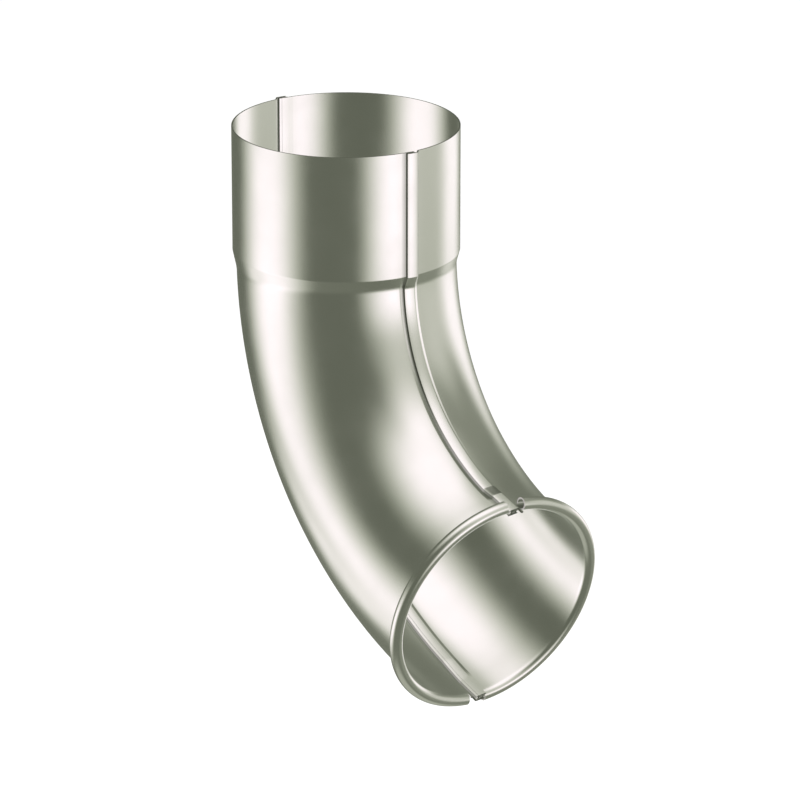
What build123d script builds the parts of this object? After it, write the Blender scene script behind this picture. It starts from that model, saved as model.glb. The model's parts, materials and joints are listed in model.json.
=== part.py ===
from build123d import *
from math import atan2, cos, degrees, radians, sin, sqrt, tan
import os

# Downspout shoe: a bent outlet for the foot of a round downspout.
# Two pressed sheet-metal halves, left and right, are locked together by a folded seam along
# the inside of the bend and another along its outside.
# Frame: origin at the centre of the socket's mouth, +Z up out of the mouth, and the outlet
# points towards +X and down. The bend lies in the XZ plane.

# Sheet and clearances
sheet = 0.7
layer_gap = 0.05
hem_end_gap = 0.2

# Socket, which slips over the end of the pipe
socket_radius = 51.0
socket_depth = 58.0

# Neck, the step down from the socket to the bend
neck_height = 9.0
neck_turn = 3.0

# Bend, which eases off towards the outlet. Its last few degrees hold the seams' ramp, and the
# straight end after it holds their raised flat.
duct_radius = 49.3
upper_bend_radius = 133.0
upper_bend_angle = 50.0
lower_bend_radius = 151.0
bend_angle = 74.5
ramp_turn = 4.0
flat_length = 13.0

# Lock seam: four layers, the hem of one half hooked into the hem of the other
seam_width = 5.6
seam_angle = -4.5
step_width = 2.0
step_lead = 0.3
dip_width = 1.7
seam_set_in = 1.1
fold_flats = 4

# Rolled bead round the outlet, cut away beside the seams
bead_roll_radius = 2.9
bead_roll_turn = 300.0
bead_flats = 10
bead_notch = 1.0

# Sizes that follow from the ones above
pitch = sheet + layer_gap
fold_outer = pitch + sheet / 2
fold_inner = pitch - sheet / 2
half_turn = 180.0


def near(n, w):
    """Point at the inside seam: n is the distance out from the duct axis, w runs across the seam."""
    return (n, w)


def far(n, w):
    """The same point at the outside seam, half a turn round the duct."""
    return (-n, -w)


def on_circle(radius, w):
    """How far out a circle round the duct axis lies at the place w across a seam."""
    return sqrt(radius ** 2 - w ** 2)


def slope_shift(rise, run):
    """How far the outer face of a step stands along from its inner face, at full sheet thickness."""
    return sheet * tan(atan2(abs(rise), run) / 2)


def arc_points(radius, start, end):
    """Points for an arc round the duct axis, from start to end by way of the left side."""
    low = atan2(start[1], start[0])
    high = atan2(end[1], end[0])
    middle = (low + high) / 2
    return start, (radius * cos(middle), radius * sin(middle)), end


def fold(seam, level, w, radius, way):
    """Points of a fold drawn with flats: half a circle about (level, w), bulging across the seam."""
    steps = [radians(half_turn) * k / fold_flats for k in range(fold_flats + 1)]
    return [seam(level - radius * cos(a), w + way * radius * sin(a)) for a in steps]


def left_section(radius, set_in):
    """Cut across the left half: wall, under layer of the inside seam, over layer of the outside seam.

    The fold edge of the inside seam lies on the local X axis, and every seam layer is flat and
    square to it. set_in is how far the seam's innermost layer lies within the wall's inner face.
    """
    outside = radius + sheet
    base = radius - set_in
    layer = [base + k * pitch for k in range(4)]
    wide = seam_width

    dip = slope_shift(set_in, dip_width)
    dip_inner = near(on_circle(radius, dip_width), -dip_width)
    dip_outer = near(on_circle(outside, dip_width - dip), dip - dip_width)

    top = wide - step_lead
    foot = top + step_width
    foot_level = on_circle(radius, foot)
    rise = slope_shift(layer[3] - foot_level, step_width)
    foot_inner = far(foot_level, foot)
    foot_outer = far(on_circle(outside, foot + rise), foot + rise)

    # Under layer of the inside seam, from the wall's inner face out to the fold and back
    under = [
        dip_inner,
        near(layer[0], 0),
        *fold(near, layer[0] + fold_outer, wide - fold_outer, fold_outer, 1),
        near(layer[2] + sheet, fold_outer + hem_end_gap),
        near(layer[2], fold_outer + hem_end_gap),
        *reversed(fold(near, layer[0] + fold_outer, wide - fold_outer, fold_inner, 1)),
        near(layer[0] + sheet, dip),
        dip_outer,
    ]
    # Over layer of the outside seam, from the wall's outer face up to the fold and under it
    over = [
        foot_outer,
        far(layer[3] + sheet, top + rise),
        *reversed(fold(far, layer[1] + fold_outer, fold_outer, fold_outer, -1)),
        far(layer[1], wide - fold_outer - hem_end_gap),
        far(layer[1] + sheet, wide - fold_outer - hem_end_gap),
        *fold(far, layer[1] + fold_outer, fold_outer, fold_inner, -1),
        far(layer[3], top),
        foot_inner,
    ]
    outer_wall = ThreePointArc(*arc_points(outside, dip_outer, foot_outer))
    inner_wall = ThreePointArc(*arc_points(radius, foot_inner, dip_inner))
    edges = [*Polyline(*under).edges(), outer_wall, *Polyline(*over).edges(), inner_wall]
    return Face(Wire(edges))


def bead_profile():
    """Cut through the rolled bead, drawn with flats, in the plane of the duct's radius and axis."""
    steps = [radians(half_turn + bead_roll_turn * k / bead_flats) for k in range(bead_flats + 1)]
    middle = duct_radius + bead_roll_radius
    inside = bead_roll_radius - sheet
    outer = [(middle + bead_roll_radius * cos(a), bead_roll_radius * sin(a)) for a in steps]
    inner = [(middle + inside * cos(a), inside * sin(a)) for a in reversed(steps)]
    return Face(Wire(Polyline(*outer, *inner, close=True).edges()))


def station(turn, along=0.0):
    """Plane across the duct after it has turned by so many degrees and run straight for along."""
    upper = radians(min(turn, upper_bend_angle))
    angle = radians(turn)
    x = upper_bend_radius * (1 - cos(upper)) + lower_bend_radius * (cos(upper) - cos(angle))
    z = upper_centre_height() - upper_bend_radius * sin(upper) - lower_bend_radius * (sin(angle) - sin(upper))
    x += along * sin(angle)
    z -= along * cos(angle)
    return Plane(origin=(x, 0, z), x_dir=(cos(angle), 0, sin(angle)), z_dir=(-sin(angle), 0, cos(angle)))


def upper_centre_height():
    """Height of the upper bend's centre, which puts the start of the bend at the foot of the neck."""
    return upper_bend_radius * sin(radians(neck_turn)) - socket_depth - neck_height


def place(section, plane, side):
    """Put a section of the left half on a plane, turned to its seam angle and to its own side."""
    return plane * Rot(0, 0, seam_angle + side) * section


def turn_section(section, start, end, radius, side):
    """Carry a section round the bend, from one turn to another, on a centre line of this radius."""
    first = station(start)
    axis = Axis(first.origin + first.x_dir * radius, (0, -1, 0))
    return revolve(place(section, first, side), axis, end - start)


def half_shell(side):
    """One half of the shoe. The right half's section is the left's, half a turn round the duct."""
    socket_face = left_section(socket_radius, 0)
    duct_face = left_section(duct_radius, seam_set_in)
    outlet_face = left_section(duct_radius, 0)
    mouth = Plane.XY
    socket_end = Plane.XY.offset(-socket_depth)
    ramp_start = bend_angle - ramp_turn
    ramp_end = station(bend_angle)

    socket = extrude(place(socket_face, mouth, side), socket_depth, dir=-mouth.z_dir)
    neck = loft(
        [place(socket_face, socket_end, side), place(duct_face, station(neck_turn), side)],
        ruled=True,
    )
    upper_bend = turn_section(duct_face, neck_turn, upper_bend_angle, upper_bend_radius, side)
    lower_bend = turn_section(duct_face, upper_bend_angle, ramp_start, lower_bend_radius, side)
    ramp = loft(
        [place(duct_face, station(ramp_start), side), place(outlet_face, ramp_end, side)],
        ruled=True,
    )
    flat = extrude(place(outlet_face, ramp_end, side), flat_length, dir=-ramp_end.z_dir)
    return socket + neck + upper_bend + lower_bend + ramp + trim_for_bead(flat, side) + bead(side)


def bead_span():
    """First and last angle of the bead on the left half, measured from the inside seam's fold edge."""
    foot = seam_width - step_lead + step_width
    first = -degrees(bead_notch / duct_radius)
    last = degrees((foot + bead_notch) / duct_radius) - half_turn
    return first, last


def sweep_from(profile, first, last):
    """Turn a profile that stands in the XY plane, radius along X, round the duct from first to last."""
    upright = Rot(90, 0, 0) * profile
    return revolve(Rot(0, 0, last) * upright, Axis.Z, first - last)


def trim_for_bead(flat, side):
    """Cut the wall back where it curls into the bead, and leave it whole beside the seams."""
    first, last = bead_span()
    reach = duct_radius + sheet * 2
    wall = Pos(reach / 2, 0) * Rectangle(reach, bead_roll_radius * 2)
    rim = station(bend_angle, flat_length)
    return flat - rim * Rot(0, 0, seam_angle + side) * sweep_from(wall, first, last)


def bead(side):
    """Rolled bead: the wall curls out and back round a hollow core."""
    first, last = bead_span()
    curl = station(bend_angle, flat_length - bead_roll_radius)
    return curl * Rot(0, 0, seam_angle + side) * sweep_from(bead_profile(), first, last)


os.makedirs("parts", exist_ok=True)
for name, side in (("left_half_shell", 0.0), ("right_half_shell", half_turn)):
    shell = half_shell(side)
    shell.label = name
    export_step(shell, f"parts/{name}.step")
    print(name, len(shell.solids()), "solid", round(shell.volume), "mm3")
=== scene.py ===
import json
from math import atan2, cos, pi, radians, sin, sqrt, tan

import bmesh
import bpy
from mathutils import Matrix, Vector


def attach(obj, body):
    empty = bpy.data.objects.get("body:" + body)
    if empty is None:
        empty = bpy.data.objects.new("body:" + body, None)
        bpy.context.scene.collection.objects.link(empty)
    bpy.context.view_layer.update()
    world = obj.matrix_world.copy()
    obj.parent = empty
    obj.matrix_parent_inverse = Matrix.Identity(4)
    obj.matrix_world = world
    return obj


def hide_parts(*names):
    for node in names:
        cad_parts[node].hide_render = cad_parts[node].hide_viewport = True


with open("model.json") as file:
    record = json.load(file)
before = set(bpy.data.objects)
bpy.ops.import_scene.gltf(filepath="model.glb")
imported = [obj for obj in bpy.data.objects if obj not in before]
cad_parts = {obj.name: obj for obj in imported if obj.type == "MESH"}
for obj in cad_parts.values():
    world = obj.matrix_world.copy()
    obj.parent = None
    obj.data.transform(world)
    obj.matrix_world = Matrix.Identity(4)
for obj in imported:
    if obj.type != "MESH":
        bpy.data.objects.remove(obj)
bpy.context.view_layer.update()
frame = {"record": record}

bl_info = {
    "name": "Downspout Shoe",
    "version": (1, 0, 0),
    "blender": (4, 5, 0),
    "location": "View3D > Sidebar > Shoe",
    "description": "Builds a seamed sheet-metal downspout shoe and the studio that shows it",
    "category": "Object",
}

SOCKET = next(m for m in frame["record"]["mounts"] if m["name"] == "pipe_socket")
MM = 0.001

# The CAD nodes, and how far each half is turned round the duct, in degrees
HALVES = (("left_half_shell", 0.0), ("right_half_shell", 180.0))

# Middle of the shoe, which the lights point at and the tent's directions start from
SHOE_CENTRE = (0.04, 0.0, -0.12)

# Steps that the smooth surfaces are drawn in
WALL_STEPS = 150
FOLD_STEPS = 10
CORNER_STEPS = 4
CURL_STEPS = 30
TONGUE_STEPS = 3
SOCKET_STEPS = 12
NECK_STEPS = 22
BEND_STEPS = 96
RAMP_STEPS = 10
FLAT_STEPS = 12

# Last stretch before a crisp fold across the duct
CREASE = 0.35 * MM

# Share of the neck's height that is a plain cone, before it rounds off into the bend
NECK_CONE = 0.6

# Largest share of a side that a rounded corner takes
CORNER_SHARE = 0.45

# Where the wall's rounding beside the dip ends, in widths of the dip
DIP_REACH = 1.9

# Where the under layer's last plain point before the dip lies, as a share of the seam's width
LAYER_SHARE = 0.4

# How far the over layer's last plain point stands off from its fold
FOLD_LEAD = 0.5 * MM

# Points of the sheet's line before its first fold and after its last one
HEM_POINTS = 2
TAIL_POINTS = 1

# Least cosine that the faces' distance from the sheet's middle is divided by where the line turns
LEAST_COSINE = 0.5

# Two neighbours on a line that are nearer than this, in metres, have no direction between them
SAME_PLACE = 1e-9

# Points of a mesh that are nearer than this are merged
MERGE_WITHIN = 0.002 * MM

# Largest angle between two faces that still look smooth, in degrees
SMOOTH_ANGLE = 50

# Painted shade of the dip, the gap, the seams' cut ends and the bead's inside, and a painted dark
# reflection on the ramp, from 0 to 1
DIP_SHADE = 0.55
GAP_SHADE = 0.75
RAMP_SHADE = 0.7
SEAM_END_SHADE = 1.0
BEAD_SHADE = 0.65

# Shares of a fold's half circle, from its hem on, where its shade is gone and where it is full
FOLD_FADE = (0.7, 0.2)

# Where the shade of the gap behind a fold starts and where it is full, in widths of the step
GAP_FADE = (0.2, 1.2)

# How far the dip's shade reaches where the seam isn't set in, and over which length it fades in
SHADE_REACH = 0.6 * MM
SHADE_BLUR = 0.4 * MM

# Share of that length by which the shade under the over layer starts before the fold edge
COVER_LEAD = 0.3

# Where the wall's shade under the bead starts and where it is full, in roll radii before the curl
BEAD_FADE = (1.125, 0.5)

# Turns of the curl, in degrees, where the shade on its outer face starts and where it is full
CURL_FADE = (215, 275)

# Marks on the faces of cut edges: plain ones, and the seams' ends, which get painted shade as if the
# bead shaded them
CUT_EDGE = 1
SEAM_END = 2

# Noise in the zinc coating, and the levels of it between which the sheet turns from bright to dull
CLOUDS = {"Scale": 14.0, "Detail": 4.0, "Roughness": 0.55}
CLOUD_LEVELS = {"From Min": 0.35, "From Max": 0.65}
SMEARS = {"Scale": 38.0, "Detail": 5.0, "Roughness": 0.6}
SMEAR_LEVELS = {"From Min": 0.3, "From Max": 0.7}

# Fine rolling grain and its height
GRAIN = {"Scale": 900.0, "Detail": 2.0}
GRAIN_HEIGHT = 0.05 * MM

# Floor: half its width, its roughness and the glow that lifts it to white where it is looked at
FLOOR_REACH = 30.0
FLOOR_ROUGHNESS = 0.9
FLOOR_GLOW = 0.45

# White room round the floor: its colour, its brightness as it is seen, and as a light
WHITE = (1.0, 1.0, 1.0, 1.0)
ROOM_SEEN = 1.0
ROOM_LIGHT = 0.6

# Light tent: its sides, its radius and top in metres, and the gap between it and the floor
TENT_SIDES = 96
TENT_RADIUS = 3.0
TENT_TOP = 6.0
TENT_GAP = 1.0 * MM

# Brightness of the tent's bare cloth, and the strength of all that is on it
TENT_TONE = 0.115
TENT_STRENGTH = 1.30

# The tent's red, green and blue where it is black, and what full brightness adds to each
TENT_TINT = {"Red": (0.94, 0.12), "Green": (1.04, -0.06), "Blue": (0.77, 0.26)}

# Soft panels on the tent that the metal mirrors, each laid over the ones before it. The numbers are
# a panel's turn from the outlet's direction, half its width, the blur of its sides, the heights of
# its lower and upper edges and their blur, all in degrees, and its brightness.
TENT_PANELS = {
    "ground": (0, 200, 10, -90, -28, 8, 0.14),
    "floor": (0, 200, 10, -90, -66, 9, 0.36),
    "roof": (0, 200, 10, 56, 200, 22, 0.96),
    "right roof": (112, 25, 14, 42, 67, 8, 0.46),
    "right side": (92, 58, 22, -60, 52, 12, 0.21),
    "right back": (132, 22, 12, -30, 40, 8, 0.15),
    "seam flat": (137, 9, 5, 43, 54, 4, 0.42),
    "front": (14, 24, 20, -22, 58, 12, 0.50),
    "front low": (13, 20, 21, -24, 5, 11, 1.05),
    "front high": (20, 30, 22, 47, 200, 18, 0.96),
    "right middle": (58, 18, 14, -20, 26, 12, 0.50),
    "right low": (98, 20, 14, -21, 5, 9, 0.93),
    "right floor": (118, 20, 12, -52, -24, 8, 0.80),
    "left low": (-121, 29, 22, -46, 0, 18, 1.00),
    "left corner": (-156, 12, 14, -38, -25, 5, 0.85),
}

# Soft lights, each with its place, its width in metres and its watts
LIGHTS = (
    ("key_light", (-0.6, -1.6, 1.6), 1.2, 18.0),
    ("fill_light", (1.8, 0.9, 1.2), 1.2, 10.0),
)

# Camera: width of its film in millimetres, of the picture in pixels, and how far it sees in metres
FILM_WIDTH = 36.0
PICTURE_WIDTH = 800.0
VIEW_REACH = 100.0


def length(name, text, default, low=0.0, high=1.0):
    """A length in metres for a property group."""
    return bpy.props.FloatProperty(
        name=name, description=text, default=default, min=low, max=high, unit="LENGTH", precision=5
    )


def turn(name, text, default, low=-360.0, high=360.0):
    """An angle for a property group, given in degrees."""
    return bpy.props.FloatProperty(
        name=name,
        description=text,
        default=radians(default),
        min=radians(low),
        max=radians(high),
        subtype="ANGLE",
    )


def share(name, text, default):
    """A number between 0 and 1 for a property group."""
    return bpy.props.FloatProperty(
        name=name, description=text, default=default, min=0.0, max=1.0, subtype="FACTOR"
    )


def colour(name, text, default):
    """A linear colour for a property group."""
    return bpy.props.FloatVectorProperty(
        name=name, description=text, default=default, size=3, min=0.0, max=1.0, subtype="COLOR"
    )


class ShoeSizes(bpy.types.PropertyGroup):
    """Sizes of the two half shells."""

    sheet: length("Sheet", "Thickness of the sheet metal", 0.7 * MM)
    layer_gap: length("Layer gap", "Clearance between two layers of the lock seam", 0.05 * MM)
    hem_end_gap: length("Hem end gap", "Clearance at the end of each hem", 0.2 * MM)
    socket_radius: length(
        "Socket radius", "Inner radius of the socket", SOCKET["dims"]["r_mm"] * MM
    )
    socket_depth: length(
        "Socket depth", "How far the pipe slips in", SOCKET["dims"]["length_mm"] * MM
    )
    neck_height: length("Neck height", "Height of the step from the socket to the bend", 9.0 * MM)
    neck_turn: turn("Neck turn", "How far the duct has turned at the foot of the neck", 3.0)
    duct_radius: length("Duct radius", "Inner radius of the bend and the outlet", 49.3 * MM)
    upper_radius: length("Upper bend radius", "Centre line radius of the upper bend", 133.0 * MM)
    upper_angle: turn("Upper bend angle", "Turn at which the upper bend ends", 50.0)
    lower_radius: length("Lower bend radius", "Centre line radius of the lower bend", 151.0 * MM)
    bend_angle: turn("Bend angle", "Full turn of the shoe", 74.5)
    ramp_turn: turn(
        "Ramp turn", "Last part of the bend, over which the seam rises out of the wall", 4.0
    )
    flat_length: length(
        "Flat length", "Length of the straight end, where the seam stays raised", 13.0 * MM
    )
    seam_width: length("Seam width", "Width of the lock seam", 5.6 * MM)
    seam_angle: turn("Seam angle", "Turn of the seams round the duct", -4.5)
    step_width: length("Step width", "Run of the step from the wall up to the seam", 2.0 * MM)
    step_lead: length("Step lead", "How far the step starts before the fold under it", 0.3 * MM)
    dip_width: length("Dip width", "Run of the dip from the wall down into the seam", 1.7 * MM)
    seam_set_in: length("Seam set in", "Depth of the seam's innermost layer in the bend", 1.1 * MM)
    corner_radius: length("Corner radius", "Radius of the pressed corners, mid sheet", 0.75 * MM)
    roll_radius: length("Bead roll radius", "Outer radius of the rolled bead's curl", 2.9 * MM)
    roll_turn: turn("Bead roll turn", "How far round the bead is curled", 300.0)
    bead_notch: length("Bead notch", "Gap between the bead and the seam", 1.0 * MM)


class ShoeFinish(bpy.types.PropertyGroup):
    """Look of the zinc-coated sheet."""

    metal: colour("Metal", "Colour of the zinc coating", (0.82, 0.82, 0.79))
    metal_dark: colour(
        "Metal, dull", "Colour of the duller clouds in the coating", (0.78, 0.785, 0.75)
    )
    edge: colour("Cut edge", "Colour of the bare cut edges", (0.46, 0.46, 0.44))
    # Painted shade: this dark colour goes into the folds, the dip, the gap, under and inside the bead
    # and on the seams' ends, and onto the ramp as a painted reflection
    fold: colour("Fold", "Colour deep in the folds and under the bead", (0.33, 0.335, 0.315))
    gloss: share("Roughness, bright", "Roughness where the sheet is brightest", 0.17)
    dull: share("Roughness, dull", "Roughness where the sheet is dullest", 0.26)
    grain: share("Grain", "Strength of the fine rolling grain", 0.10)


class ShoeStudio(bpy.types.PropertyGroup):
    """Floor and camera."""

    floor_drop: length("Floor drop", "Height of the socket's mouth above the floor", 0.6, 0.1, 3.0)
    floor_colour: colour("Floor", "Colour of the floor", (0.86, 0.86, 0.86))
    view_side: turn("View side", "Camera's angle from the outlet's direction", 35.34)
    view_height: turn("View height", "Camera's height angle", 19.46)
    view_distance: length("View distance", "Camera's distance", 2.5, 0.1, 10.0)
    view_scale: bpy.props.FloatProperty(
        name="View scale", description="Pixels to the millimetre", default=2.220, min=0.1, max=20.0
    )
    view_right: length(
        "View centre, right", "Centre of the view, towards the right", 0.02436, -1.0, 1.0
    )
    view_up: length("View centre, up", "Centre of the view, upwards", -0.12413, -1.0, 1.0)


class Nodes:
    """Adds nodes to a tree and links them, so that a tree can be written as sums."""

    def __init__(self, tree):
        self.tree = tree

    def add(self, kind, inputs=None, **settings):
        """A new node with these settings and inputs."""
        node = self.tree.nodes.new(kind)
        for key, value in settings.items():
            setattr(node, key, value)
        for key, value in (inputs or {}).items():
            self.put(node.inputs[key], value)
        return node

    def put(self, socket, value):
        """Link another node's output to a socket, or set its plain value."""
        if isinstance(value, bpy.types.NodeSocket):
            self.tree.links.new(value, socket)
        else:
            socket.default_value = value

    def math(self, operation, *values):
        """Result of a sum on plain values or other nodes' outputs."""
        node = self.add("ShaderNodeMath", operation=operation)
        for socket, value in zip(node.inputs, values):
            self.put(socket, value)
        return node.outputs[0]

    def blend(self, factor, first, second):
        """A colour that goes from the first to the second with the factor."""
        node = self.add("ShaderNodeMix", {"Factor": factor}, data_type="RGBA")
        self.put(node.inputs["A"], first)
        self.put(node.inputs["B"], second)
        return node.outputs["Result"]

    def noise(self, place, settings):
        """Noise from 0 to 1 at a place."""
        return self.add("ShaderNodeTexNoise", {"Vector": place, **settings}).outputs["Fac"]


# The sheet's cut, drawn in the plane across the duct


def on_circle(radius, w):
    """How far out a circle round the duct's axis lies at the place w across a seam."""
    return sqrt(radius**2 - w**2)


def rounded(points, radius):
    """The line through these points, with every corner between its ends rounded."""
    line = [Vector(points[0])]
    for before, corner, after in zip(points, points[1:], points[2:]):
        corner = Vector(corner)
        back = Vector(before) - corner
        ahead = Vector(after) - corner
        bend = pi - back.angle(ahead)
        room = min(back.length, ahead.length) * CORNER_SHARE
        reach = min(radius * tan(bend / 2), room)
        start = corner + back.normalized() * reach
        end = corner + ahead.normalized() * reach
        for k in range(CORNER_STEPS + 1):
            t = k / CORNER_STEPS
            line.append(start * (1 - t) ** 2 + corner * 2 * t * (1 - t) + end * t**2)
    line.append(Vector(points[-1]))
    return line


def half_circle(centre, start):
    """Half a circle about a fold's centre, anticlockwise from its start.

    A real fold bulges towards +Y. This one bulges back between its own layers, which is a fault.
    """
    arm = start - centre
    turns = [pi * k / FOLD_STEPS for k in range(FOLD_STEPS + 1)]
    return [centre + Matrix.Rotation(turned, 2) @ arm for turned in turns]


def sheet_line(size, radius, set_in):
    """Middle line of the left half's sheet, from hem to hem, and the bead's first and last point."""
    half = size.sheet / 2
    pitch = size.sheet + size.layer_gap
    wide = size.seam_width
    middle = radius + half
    layer = [radius - set_in + half + k * pitch for k in range(4)]
    fold = pitch + half
    top = wide - size.step_lead
    foot = top + size.step_width
    edge_in = -atan2(size.dip_width, on_circle(middle, size.dip_width))
    edge_out = atan2(foot, on_circle(middle, foot)) - pi
    sweep_start = edge_in * DIP_REACH
    bead_end = (foot + size.bead_notch) / radius - pi

    def wall(angle):
        return Vector((middle * cos(angle), middle * sin(angle)))

    near_fold = Vector((layer[1], wide - fold))
    hem = [Vector((layer[2], fold + size.hem_end_gap)), Vector((layer[2], wide / 2))]
    fold_in = half_circle(near_fold, near_fold - Vector((pitch, 0)))[::-1]
    dip_corners = [(layer[0], wide * LAYER_SHARE), (layer[0], 0), wall(edge_in), wall(sweep_start)]
    dip = rounded(dip_corners, size.corner_radius)
    sweep_step = (bead_end - sweep_start) / WALL_STEPS
    sweep = [wall(sweep_start + sweep_step * k) for k in range(1, WALL_STEPS + 1)]
    last_wall = wall((bead_end + edge_out) / 2)
    step_corners = [last_wall, wall(edge_out), (-layer[3], -top), (-layer[3], -fold - FOLD_LEAD)]
    step = rounded(step_corners, size.corner_radius)
    far_fold = Vector((-layer[2], -fold))
    fold_out = half_circle(far_fold, far_fold - Vector((pitch, 0)))
    tail = [Vector((-layer[1], -(wide - fold - size.hem_end_gap)))]
    bead_from = len(hem) + len(fold_in) + CORNER_STEPS + 1
    bead_to = len(hem) + len(fold_in) + len(dip) + WALL_STEPS - 1
    return hem + fold_in + dip + sweep + step + fold_out + tail, bead_from, bead_to


def fold_shades(size, line, set_in, ramp):
    """How deep in painted shade each point of the line lies: first its inner face, then its outer.

    ramp is the painted darkening on top of the over layer where it rises to the outlet, a painted
    reflection of the shoe's own darker wall.
    """
    foot = size.seam_width - size.step_lead + size.step_width
    dip_starts = -set_in - SHADE_REACH
    cover_starts = -COVER_LEAD * SHADE_BLUR
    gap_starts, gap_full = (size.step_width * reach for reach in GAP_FADE)
    turn_count = FOLD_STEPS + 1
    inner, outer = [], []
    for k, point in enumerate(line):
        from_hem = k - HEM_POINTS
        from_tail = len(line) - 1 - TAIL_POINTS - k
        if from_hem < turn_count:
            inner.append(fade(from_hem / turn_count, *FOLD_FADE))
            outer.append(1.0)
        elif from_tail < turn_count:
            inner.append(1.0)
            outer.append(fade(from_tail / turn_count, *FOLD_FADE))
        elif point.x > 0:
            dip = fade(point.y, dip_starts, dip_starts + SHADE_BLUR)
            covered = fade(point.y, cover_starts, cover_starts + SHADE_BLUR)
            inner.append(0.0)
            outer.append(DIP_SHADE * dip + (1 - DIP_SHADE) * covered)
        else:
            inner.append(GAP_SHADE * fade(foot + point.y, gap_starts, gap_full))
            outer.append(ramp if -point.y < foot else 0.0)
    return inner, outer


def skins(line, half):
    """The two faces of the sheet beside its middle line."""
    inner, outer = [], []
    for k, point in enumerate(line):
        ahead = line[min(k + 1, len(line) - 1)] - point
        back = point - line[max(k - 1, 0)]
        ahead = ahead.normalized() if ahead.length > SAME_PLACE else back.normalized()
        back = back.normalized() if back.length > SAME_PLACE else ahead
        along = (ahead + back).normalized()
        side = Vector((along.y, -along.x))
        spread = half / max(side.dot(Vector((ahead.y, -ahead.x))), LEAST_COSINE)
        inner.append(point + side * spread)
        outer.append(point - side * spread)
    return inner, outer


def fade(value, start, end):
    """Smooth step from 0 where the value is at its start to 1 at its end."""
    t = min(max((value - start) / (end - start), 0.0), 1.0)
    return t * t * (3 - 2 * t)


def fillet(t):
    """Straight from 0 at a crisp start, then rounded off towards 1."""
    slope = 2 / (1 + NECK_CONE)
    return slope * t if t < NECK_CONE else 1 - slope * (1 - t) ** 2 / (2 * (1 - NECK_CONE))


def shell_stations(size):
    """Distances along the duct, each with the wall's radius and the seam's depth and shade."""
    socket, duct, set_in = size.socket_radius, size.duct_radius, size.seam_set_in
    depth, neck = size.socket_depth, size.neck_height
    rows = [(depth * k / SOCKET_STEPS, socket, 0.0, 0.0) for k in range(SOCKET_STEPS)]
    rows.append((depth - CREASE, socket, 0.0, 0.0))
    for k in range(NECK_STEPS + 1):
        t = k / NECK_STEPS
        radius = socket + (duct - socket) * fillet(t)
        rows.append((depth + neck * t, radius, set_in * fillet(t), 0.0))
    start = depth + neck
    ramp = size.lower_radius * size.ramp_turn
    arc = arc_length(size) - ramp
    rows += [(start + arc * k / BEND_STEPS, duct, set_in, 0.0) for k in range(1, BEND_STEPS)]
    start += arc
    rows.append((start - CREASE, duct, set_in, 0.0))
    for k in range(RAMP_STEPS + 1):
        t = k / RAMP_STEPS
        rows.append((start + ramp * t, duct, set_in * (1 - t), RAMP_SHADE))
    start += ramp
    rows.append((start + CREASE, duct, 0.0, 0.0))
    run = size.flat_length - size.roll_radius
    rows += [(start + run * k / FLAT_STEPS, duct, 0.0, 0.0) for k in range(1, FLAT_STEPS + 1)]
    return rows


def arc_length(size):
    """Length of the centre line round both bends."""
    upper = size.upper_radius * (size.upper_angle - size.neck_turn)
    return upper + size.lower_radius * (size.bend_angle - size.upper_angle)


class Patchwork:
    """Collects grids of points as quads.

    Each point is its place in the section, its distance along the duct and its painted shade.
    """

    def __init__(self):
        self.mesh = bmesh.new()
        self.shade = self.mesh.verts.layers.float.new("fold_shade")
        self.cut = self.mesh.faces.layers.int.new("cut_edge")

    def grid(self, rows, closed=False, cut=0):
        """Add rows of points as quads, each row open or a closed ring, with the mark of a cut edge."""
        made = []
        for row in rows:
            line = []
            for place, far, shade in row:
                vert = self.mesh.verts.new((place.x, place.y, -far))
                vert[self.shade] = shade
                line.append(vert)
            made.append(line)
        for low, high in zip(made, made[1:]):
            count = len(low)
            for k in range(count if closed else count - 1):
                n = (k + 1) % count
                face = self.mesh.faces.new((low[k], low[n], high[n], high[k]))
                face[self.cut] = cut
                face.smooth = True

    def finish(self, name):
        """Merge what lies together, point the faces outwards and return the mesh."""
        bmesh.ops.remove_doubles(self.mesh, verts=self.mesh.verts, dist=MERGE_WITHIN)
        bmesh.ops.recalc_face_normals(self.mesh, faces=self.mesh.faces)
        mesh = bpy.data.meshes.new(name)
        self.mesh.to_mesh(mesh)
        self.mesh.free()
        return mesh


def straight_shell(size, name):
    """The left half as a straight tube, socket at the top, with its folds and its rolled bead."""
    patches = Patchwork()
    stations = shell_stations(size)
    end = stations[-1][0]
    bead_starts, bead_full = (end - size.roll_radius * reach for reach in BEAD_FADE)
    rows = []
    for far, radius, set_in, ramp in stations:
        line, bead_from, bead_to = sheet_line(size, radius, set_in)
        inner, outer = skins(line, size.sheet / 2)
        shade_in, shade_out = fold_shades(size, line, set_in, ramp)
        # Painted shade on the wall's outer face where it runs in under the bead
        under_bead = fade(far, bead_starts, bead_full)
        for k in range(bead_from, bead_to + 1):
            shade_out[k] = max(shade_out[k], under_bead)
        inside = [(p, far, shade) for p, shade in zip(inner, shade_in)]
        outside = [(p, far, shade) for p, shade in zip(outer, shade_out)]
        rows.append(inside + outside[::-1])
    patches.grid(rows, closed=True)
    count = len(line)
    patches.grid([rows[0][:count], rows[0][count:][::-1]], cut=CUT_EDGE)

    # The last section goes on as a tongue at each seam, and between them as the bead
    for first, last in ((0, bead_from), (bead_to, count - 1)):
        part = slice(first, last + 1)
        ring = inside[part] + outside[part][::-1]
        steps = [end + size.roll_radius * k / TONGUE_STEPS for k in range(TONGUE_STEPS + 1)]
        patches.grid([[(p, far, shade) for p, _, shade in ring] for far in steps], closed=True)
        rim = [[(p, end + size.roll_radius, 0.0) for p in side[part]] for side in (inner, outer)]
        # The tongues' cut ends carry the seam end mark, which paints them in shade
        patches.grid(rim, cut=SEAM_END)
    add_bead(patches, size, end, inner[bead_from : bead_to + 1], outer[bead_from : bead_to + 1])
    return patches.finish(name)


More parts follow.
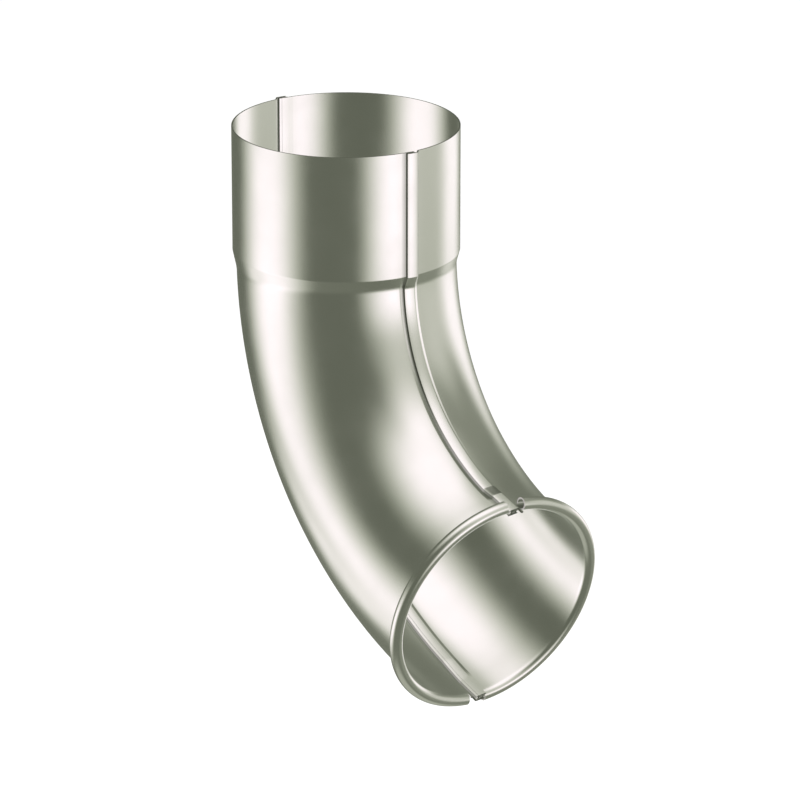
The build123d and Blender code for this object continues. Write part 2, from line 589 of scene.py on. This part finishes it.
def add_bead(patches, size, end, inner, outer):
    """Curl the wall's end out and back into the hollow bead."""
    middle = size.duct_radius + size.roll_radius

    def curled(point, roll, angle, shade):
        """Where a point of the wall goes on the bead, after the curl has turned by an angle."""
        out = middle - roll * cos(angle)
        return point.normalized() * out, end + roll * sin(angle), shade

    wide_roll, tight_roll = size.roll_radius, size.roll_radius - size.sheet
    curl_starts, curl_full = (radians(angle) for angle in CURL_FADE)
    curl_in, curl_out = [], []
    for k in range(CURL_STEPS + 1):
        angle = size.roll_turn * k / CURL_STEPS
        # Painted shade on the back of the curl where it turns in towards the wall, and all through the
        # bead's inside
        behind = fade(angle, curl_starts, curl_full)
        curl_in.append([curled(point, wide_roll, angle, behind) for point in inner])
        curl_out.append([curled(point, tight_roll, angle, BEAD_SHADE) for point in outer])
    patches.grid(curl_in)
    patches.grid(curl_out)
    patches.grid([curl_in[-1], curl_out[-1]], cut=CUT_EDGE)
    for side in (0, -1):
        ring = [[row[side] for row in curl] for curl in (curl_in, curl_out)]
        patches.grid(ring, cut=CUT_EDGE)


# The rule that bends the straight tube, as geometry nodes


def new_inputs(tree, names):
    """Declare a tree's geometry sockets, its named number inputs and its metal."""
    sockets = tree.interface
    sockets.new_socket("Geometry", in_out="INPUT", socket_type="NodeSocketGeometry")
    for name in names:
        sockets.new_socket(name, in_out="INPUT", socket_type="NodeSocketFloat")
    sockets.new_socket("Metal", in_out="INPUT", socket_type="NodeSocketMaterial")
    sockets.new_socket("Geometry", in_out="OUTPUT", socket_type="NodeSocketGeometry")


BEND_INPUTS = (
    "Seam Turn",
    "Straight Start",
    "Neck Radius",
    "Neck Angle",
    "Upper Radius",
    "Upper Angle",
    "Lower Radius",
    "Lower Angle",
)


def bend_tree():
    """A tree that turns a straight tube round the duct axis and bends it along three arcs."""
    tree = bpy.data.node_groups.new("Bend along the duct", "GeometryNodeTree")
    new_inputs(tree, BEND_INPUTS)
    n = Nodes(tree)
    given = n.add("NodeGroupInput").outputs
    start = n.add("GeometryNodeInputPosition").outputs[0]
    turn_it = {"Vector": start, "Angle": given["Seam Turn"]}
    turned = n.add("ShaderNodeVectorRotate", turn_it, rotation_type="Z_AXIS").outputs[0]
    place = n.add("ShaderNodeSeparateXYZ", {0: turned}).outputs
    far = n.math("MULTIPLY", place["Z"], -1.0)
    reached = given["Straight Start"]
    centre_x = 0.0
    centre_z = n.math("MULTIPLY", n.math("MINIMUM", far, reached), -1.0)
    angle = 0.0
    for arc in ("Neck", "Upper", "Lower"):
        radius = given[f"{arc} Radius"]
        run = n.math("MAXIMUM", n.math("SUBTRACT", far, reached), 0.0)
        part = n.math("MINIMUM", n.math("DIVIDE", run, radius), given[f"{arc} Angle"])
        now = n.math("ADD", angle, part)
        across = n.math("SUBTRACT", n.math("COSINE", angle), n.math("COSINE", now))
        down = n.math("SUBTRACT", n.math("SINE", now), n.math("SINE", angle))
        centre_x = n.math("MULTIPLY_ADD", radius, across, centre_x)
        centre_z = n.math("SUBTRACT", centre_z, n.math("MULTIPLY", radius, down))
        reached = n.math("MULTIPLY_ADD", radius, given[f"{arc} Angle"], reached)
        angle = now
    beyond = n.math("MAXIMUM", n.math("SUBTRACT", far, reached), 0.0)
    swing, fall = n.math("SINE", angle), n.math("COSINE", angle)
    centre_x = n.math("MULTIPLY_ADD", beyond, swing, centre_x)
    centre_z = n.math("SUBTRACT", centre_z, n.math("MULTIPLY", beyond, fall))
    x = n.math("MULTIPLY_ADD", place["X"], fall, centre_x)
    z = n.math("MULTIPLY_ADD", place["X"], swing, centre_z)
    bent = n.add("ShaderNodeCombineXYZ", {"X": x, "Y": place["Y"], "Z": z}).outputs[0]
    move = {"Geometry": given["Geometry"], "Position": bent}
    moved = n.add("GeometryNodeSetPosition", move).outputs[0]
    real = n.add("GeometryNodeRealizeInstances", {0: moved}).outputs[0]
    coat = {"Geometry": real, "Material": given["Metal"]}
    coated = n.add("GeometryNodeSetMaterial", coat).outputs[0]
    n.put(n.add("NodeGroupOutput").inputs[0], coated)
    return tree


def grown(mesh, name, tree, values):
    """Run a mesh through a tree with these inputs and return the result as a plain object."""
    piece = bpy.data.objects.new(name, mesh)
    bpy.context.scene.collection.objects.link(piece)
    modifier = piece.modifiers.new("Shape", "NODES")
    modifier.node_group = tree
    for item in tree.interface.items_tree:
        if item.item_type == "SOCKET" and item.in_out == "INPUT" and item.name in values:
            modifier[item.identifier] = values[item.name]
    evaluated = piece.evaluated_get(bpy.context.evaluated_depsgraph_get())
    plain = bpy.data.meshes.new_from_object(evaluated)
    piece.modifiers.remove(modifier)
    piece.data = plain
    plain.name = name
    return piece


# Material


def new_material(name):
    """A plain material, with its nodes to add to and its shader."""
    material = bpy.data.materials.new(name)
    material.use_nodes = True
    return material, Nodes(material.node_tree), material.node_tree.nodes["Principled BSDF"]


def zinc_material(finish):
    """Bright zinc-coated steel: faint clouds, a fine rolling grain, bare cut edges, and painted shade
    in the folds.
    """
    material, n, shader = new_material("zinc coated steel")
    place = n.add("ShaderNodeTexCoord").outputs["Object"]

    clouds = {"Value": n.noise(place, CLOUDS), **CLOUD_LEVELS}
    dull = n.add("ShaderNodeMapRange", clouds).outputs[0]
    zinc = n.blend(dull, (*finish.metal, 1.0), (*finish.metal_dark, 1.0))
    cut = n.add("ShaderNodeAttribute", attribute_name="cut_edge").outputs["Fac"]
    bare = n.blend(cut, zinc, (*finish.edge, 1.0))
    # Painted shade: the fold_shade attribute and the seams' end mark darken the colour towards the
    # fold colour in the folds, dip, gap, bead and seam ends, and on the ramp as a painted reflection
    shade = n.add("ShaderNodeAttribute", attribute_name="fold_shade").outputs["Fac"]
    seam_end = n.math("MULTIPLY", n.math("SUBTRACT", cut, float(CUT_EDGE)), SEAM_END_SHADE)
    shade = n.math("MAXIMUM", shade, seam_end)
    n.put(shader.inputs["Base Color"], n.blend(shade, bare, (*finish.fold, 1.0)))

    smears = {"Value": n.noise(place, SMEARS), **SMEAR_LEVELS}
    smears.update({"To Min": finish.gloss, "To Max": finish.dull})
    n.put(shader.inputs["Roughness"], n.add("ShaderNodeMapRange", smears).outputs[0])
    n.put(shader.inputs["Metallic"], 1.0)
    grain = n.noise(place, GRAIN)
    bump = {"Height": grain, "Strength": finish.grain, "Distance": GRAIN_HEIGHT}
    n.put(shader.inputs["Normal"], n.add("ShaderNodeBump", bump).outputs[0])
    return material


# Stage


def stage_mesh(name, verts, faces, material):
    """An object of the stage, made of a few faces."""
    mesh = bpy.data.meshes.new(name)
    mesh.from_pydata(verts, [], faces)
    mesh.materials.append(material)
    thing = bpy.data.objects.new(name, mesh)
    bpy.context.scene.collection.objects.link(thing)
    return thing


def seen_directly(n):
    """1 for rays from the camera, also by way of a reflection or through something clear, else 0."""
    path = n.add("ShaderNodeLightPath").outputs
    seen = n.math("MAXIMUM", path["Is Camera Ray"], path["Is Glossy Ray"])
    return n.math("MAXIMUM", seen, path["Is Transmission Ray"])


def lay_floor(studio):
    """A wide pale floor under the shoe, that glows a little where it is looked at."""
    material, n, shader = new_material("pale floor")
    n.put(shader.inputs["Base Color"], (*studio.floor_colour, 1.0))
    n.put(shader.inputs["Roughness"], FLOOR_ROUGHNESS)
    n.put(shader.inputs["Emission Color"], WHITE)
    n.put(shader.inputs["Emission Strength"], n.math("MULTIPLY", seen_directly(n), FLOOR_GLOW))
    corners = [(-1, -1), (1, -1), (1, 1), (-1, 1)]
    verts = [(x * FLOOR_REACH, y * FLOOR_REACH, -studio.floor_drop) for x, y in corners]
    stage_mesh("pale_floor", verts, [(0, 1, 2, 3)], material)


def panel_mask(n, turned, rise, panel):
    """How much of a panel shows in a direction, from 0 to 1."""
    centre, half_width, side_blur, low, high, edge_blur = panel
    aside = n.math("WRAP", n.math("SUBTRACT", turned, radians(centre)), pi, -pi)
    aside = n.math("ABSOLUTE", aside)
    mask = 1.0
    for value, edge, blur, inside in (
        (aside, half_width, side_blur, -1),
        (rise, low, edge_blur, 1),
        (rise, high, edge_blur, -1),
    ):
        span = {
            "Value": value,
            "From Min": radians(edge - inside * blur),
            "From Max": radians(edge + inside * blur),
        }
        soft = n.add("ShaderNodeMapRange", span, interpolation_type="SMOOTHSTEP").outputs[0]
        mask = n.math("MULTIPLY", mask, soft)
    return mask


def tent_material():
    """Glowing cloth whose brightness depends on the direction from the shoe.

    Its darks lean to green and its lights to pink.
    """
    material = bpy.data.materials.new("light tent")
    material.use_nodes = True
    material.node_tree.nodes.clear()
    n = Nodes(material.node_tree)
    place = n.add("ShaderNodeTexCoord").outputs["Object"]
    away = n.add("ShaderNodeVectorMath", {0: place, 1: SHOE_CENTRE}, operation="SUBTRACT").outputs[0]
    away = n.add("ShaderNodeVectorMath", {0: away}, operation="NORMALIZE").outputs[0]
    aim = n.add("ShaderNodeSeparateXYZ", {0: away}).outputs
    turned = n.math("ARCTAN2", aim["Y"], aim["X"])
    rise = n.math("ARCSINE", aim["Z"])
    tone = TENT_TONE
    for *panel, brightness in TENT_PANELS.values():
        gain = n.math("SUBTRACT", brightness, tone)
        tone = n.math("MULTIPLY_ADD", panel_mask(n, turned, rise, panel), gain, tone)
    tint = {
        name: n.math("MULTIPLY_ADD", tone, added, black)
        for name, (black, added) in TENT_TINT.items()
    }
    tinted = n.add("ShaderNodeCombineColor", tint).outputs[0]
    strength = n.math("MULTIPLY", tone, TENT_STRENGTH)
    glow = n.add("ShaderNodeEmission", {"Color": tinted, "Strength": strength})
    n.put(n.add("ShaderNodeOutputMaterial").inputs["Surface"], glow.outputs[0])
    return material


def raise_tent(studio):
    """A round light tent that only reflections see. Its panels give the metal lights and darks."""
    count = TENT_SIDES
    turns = [2 * pi * k / count for k in range(count)]
    heights = (TENT_GAP - studio.floor_drop, TENT_TOP)
    verts = [(TENT_RADIUS * cos(a), TENT_RADIUS * sin(a), z) for z in heights for a in turns]
    faces = [(k, (k + 1) % count, count + (k + 1) % count, count + k) for k in range(count)]
    faces.append(tuple(range(count)))
    faces.append(tuple(range(count, 2 * count)))
    tent = stage_mesh("light_tent", verts, faces, tent_material())
    tent.visible_camera = False
    tent.visible_diffuse = False
    tent.visible_shadow = False
    tent.visible_transmission = False


def light_world():
    """White to the camera and to reflections, and a plain soft light on the rest."""
    world = bpy.data.worlds.new("studio world")
    bpy.context.scene.world = world
    world.use_nodes = True
    n = Nodes(world.node_tree)
    back = world.node_tree.nodes["Background"]
    n.put(back.inputs["Color"], WHITE)
    strength = n.math("MULTIPLY_ADD", seen_directly(n), ROOM_SEEN - ROOM_LIGHT, ROOM_LIGHT)
    n.put(back.inputs["Strength"], strength)


def hang_lights():
    """Two large soft lights that point at the shoe, and that the metal doesn't mirror."""
    target = Vector(SHOE_CENTRE)
    for name, place, wide, watts in LIGHTS:
        data = bpy.data.lights.new(name, "AREA")
        data.shape = "SQUARE"
        data.size = wide
        data.energy = watts
        lamp = bpy.data.objects.new(name, data)
        lamp.visible_glossy = False
        lamp.location = place
        lamp.rotation_euler = (target - Vector(place)).to_track_quat("-Z", "Y").to_euler()
        bpy.context.scene.collection.objects.link(lamp)


def aim_camera(studio):
    """The photo's view: a long lens, a little above the shoe, from beside the outlet."""
    side, height = studio.view_side, studio.view_height
    right = Vector((sin(side), cos(side), 0.0))
    back = Vector((cos(side) * cos(height), -sin(side) * cos(height), sin(height)))
    up = back.cross(right)
    data = bpy.data.cameras.new("photo_view")
    data.sensor_width = FILM_WIDTH
    data.lens = FILM_WIDTH * (studio.view_distance / MM) * studio.view_scale / PICTURE_WIDTH
    data.clip_end = VIEW_REACH
    camera = bpy.data.objects.new("photo_view", data)
    camera.location = right * studio.view_right + up * studio.view_up + back * studio.view_distance
    camera.rotation_euler = Matrix((right, up, back)).transposed().to_euler()
    bpy.context.scene.collection.objects.link(camera)
    bpy.context.scene.camera = camera


# Operators and their panel


class SHOE_OT_half_shells(bpy.types.Operator):
    """Build both half shells and lay them over their CAD nodes"""

    bl_idname = "shoe.half_shells"
    bl_label = "Half Shells"

    def execute(self, context):
        size = context.scene.shoe_sizes
        metal = zinc_material(context.scene.shoe_finish)
        tree = bend_tree()
        for node, side in HALVES:
            values = {
                "Seam Turn": size.seam_angle + radians(side),
                "Straight Start": size.socket_depth,
                "Neck Radius": size.neck_height / size.neck_turn,
                "Neck Angle": size.neck_turn,
                "Upper Radius": size.upper_radius,
                "Upper Angle": size.upper_angle - size.neck_turn,
                "Lower Radius": size.lower_radius,
                "Lower Angle": size.bend_angle - size.upper_angle,
                "Metal": metal,
            }
            name = "pressed_" + node
            piece = grown(straight_shell(size, name), name, tree, values)
            piece.data.set_sharp_from_angle(angle=radians(SMOOTH_ANGLE))
            piece.visible_glossy = False
            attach(piece, "root")
            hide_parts(node)
        bpy.data.node_groups.remove(tree)
        return {"FINISHED"}


class SHOE_OT_studio(bpy.types.Operator):
    """Set the floor, the light and the camera"""

    bl_idname = "shoe.studio"
    bl_label = "Studio"

    def execute(self, context):
        studio = context.scene.shoe_studio
        lay_floor(studio)
        raise_tent(studio)
        light_world()
        hang_lights()
        aim_camera(studio)
        return {"FINISHED"}


class SHOE_PT_sidebar(bpy.types.Panel):
    """Lists the shoe's sizes, finish and steps"""

    bl_label = "Downspout Shoe"
    bl_idname = "SHOE_PT_sidebar"
    bl_space_type = "VIEW_3D"
    bl_region_type = "UI"
    bl_category = "Shoe"

    def draw(self, context):
        layout = self.layout
        scene = context.scene
        for title, group in (
            ("Sizes", scene.shoe_sizes),
            ("Finish", scene.shoe_finish),
            ("Studio", scene.shoe_studio),
        ):
            box = layout.box()
            box.label(text=title)
            for name in group.__annotations__:
                box.prop(group, name)
        for step in STEPS:
            layout.operator(step.bl_idname)


STEPS = (SHOE_OT_half_shells, SHOE_OT_studio)
CLASSES = (ShoeSizes, ShoeFinish, ShoeStudio, *STEPS, SHOE_PT_sidebar)


def register():
    for cls in CLASSES:
        bpy.utils.register_class(cls)
    bpy.types.Scene.shoe_sizes = bpy.props.PointerProperty(type=ShoeSizes)
    bpy.types.Scene.shoe_finish = bpy.props.PointerProperty(type=ShoeFinish)
    bpy.types.Scene.shoe_studio = bpy.props.PointerProperty(type=ShoeStudio)


def unregister():
    del bpy.types.Scene.shoe_studio
    del bpy.types.Scene.shoe_finish
    del bpy.types.Scene.shoe_sizes
    for cls in reversed(CLASSES):
        bpy.utils.unregister_class(cls)


def main():
    register()
    bpy.ops.shoe.half_shells()
    bpy.ops.shoe.studio()
    bpy.context.scene.view_settings.view_transform = "Standard"
    bpy.context.view_layer.update()


if __name__ == "__main__":
    main()
